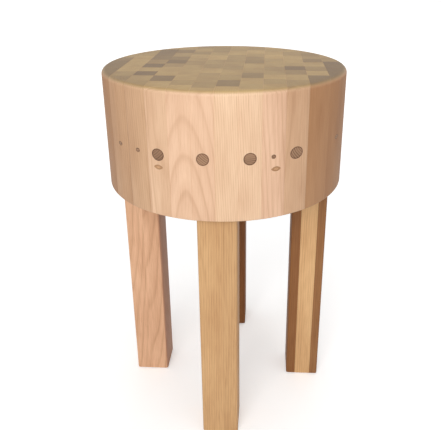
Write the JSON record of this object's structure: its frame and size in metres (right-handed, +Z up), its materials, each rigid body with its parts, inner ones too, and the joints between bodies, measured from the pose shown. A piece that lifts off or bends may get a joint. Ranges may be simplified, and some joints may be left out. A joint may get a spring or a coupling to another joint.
{
  "type": "round chopping block on legs",
  "caption": "Free-standing butcher's chopping block: a thick round end-grain slab glued up from upright wooden bars, pulled together by plugged tie rods, on four square legs.",
  "frame": {"origin": "on the floor, below the centre of the round block", "axes": "+Z up, -Y towards the plugged front, +X to the right seen from the front; the legs stand on the X and Y axes"},
  "size_m": [0.5, 0.5, 0.768],
  "materials": {
    "block_wood": "oiled light hardwood, end grain on top",
    "plug_wood": "oiled end grain of darker dowel stock",
    "patch_wood": "oiled face grain, darker glue outline",
    "leg_wood": "oiled light hardwood, planed",
    "zinc_steel": "bright zinc plate"
  },
  "bodies": {
    "root": {"bar_row_01": "block_wood", "bar_row_02": "block_wood", "bar_row_03": "block_wood", "bar_row_04": "block_wood", "bar_row_05": "block_wood", "bar_row_06": "block_wood", "bar_row_07": "block_wood", "bar_row_08": "block_wood", "bar_row_09": "block_wood", "bar_row_10": "block_wood", "bar_row_11": "block_wood", "bar_row_12": "block_wood", "tie_rod_1": "zinc_steel", "tie_rod_2": "zinc_steel", "tie_rod_3": "zinc_steel", "tie_rod_4": "zinc_steel", "tie_nuts": "zinc_steel", "tie_washers": "zinc_steel", "front_plugs": "plug_wood", "back_plugs": "plug_wood", "rim_dowels": "plug_wood", "patch_left": "patch_wood", "patch_right": "patch_wood", "leg_front": "leg_wood", "leg_right": "leg_wood", "leg_back": "leg_wood", "leg_left": "leg_wood", "leg_studs": "zinc_steel", "insert_nuts": "zinc_steel"}
  },
  "joints": []
}
